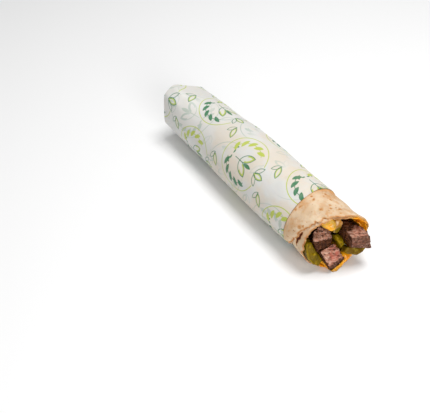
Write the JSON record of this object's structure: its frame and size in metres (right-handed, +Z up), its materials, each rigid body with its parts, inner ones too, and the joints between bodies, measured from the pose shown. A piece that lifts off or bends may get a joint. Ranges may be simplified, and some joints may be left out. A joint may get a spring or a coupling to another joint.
{
  "type": "doner kebab wrap in a paper sleeve",
  "caption": "Rolled flatbread wrap with cubed beef, pickles and cheese sauce at its open end, the rest in a printed paper sleeve folded shut at the other end.",
  "frame": {"origin": "bottom centre of the whole wrap, on the surface it lies on", "axes": "+X along the roll from the folded paper end to the open mouth, +Y across it, +Z up"},
  "size_m": [0.1978, 0.0492, 0.0473],
  "materials": {
    "printed_paper": "thin greaseproof paper with a green leaf and ring print",
    "flatbread": "soft flatbread with toasted spots and a browned rim",
    "cheese_sauce": "glossy melted cheese sauce",
    "dark_beef": "dark moist cooked beef",
    "roast_beef": "cut roast beef with a dark crust",
    "pickle": "wet pickled cucumber"
  },
  "bodies": {
    "root": {"paper_sleeve": "printed_paper", "flatbread": "flatbread", "cheese_sauce": "cheese_sauce", "beef_filling": "dark_beef", "beef_right": "roast_beef", "beef_lower": "roast_beef", "beef_upper": "roast_beef", "pickle_right": "pickle", "pickle_left": "pickle", "pickle_strip": "pickle", "pickle_top": "pickle", "cheese_top": "cheese_sauce"}
  },
  "joints": []
}
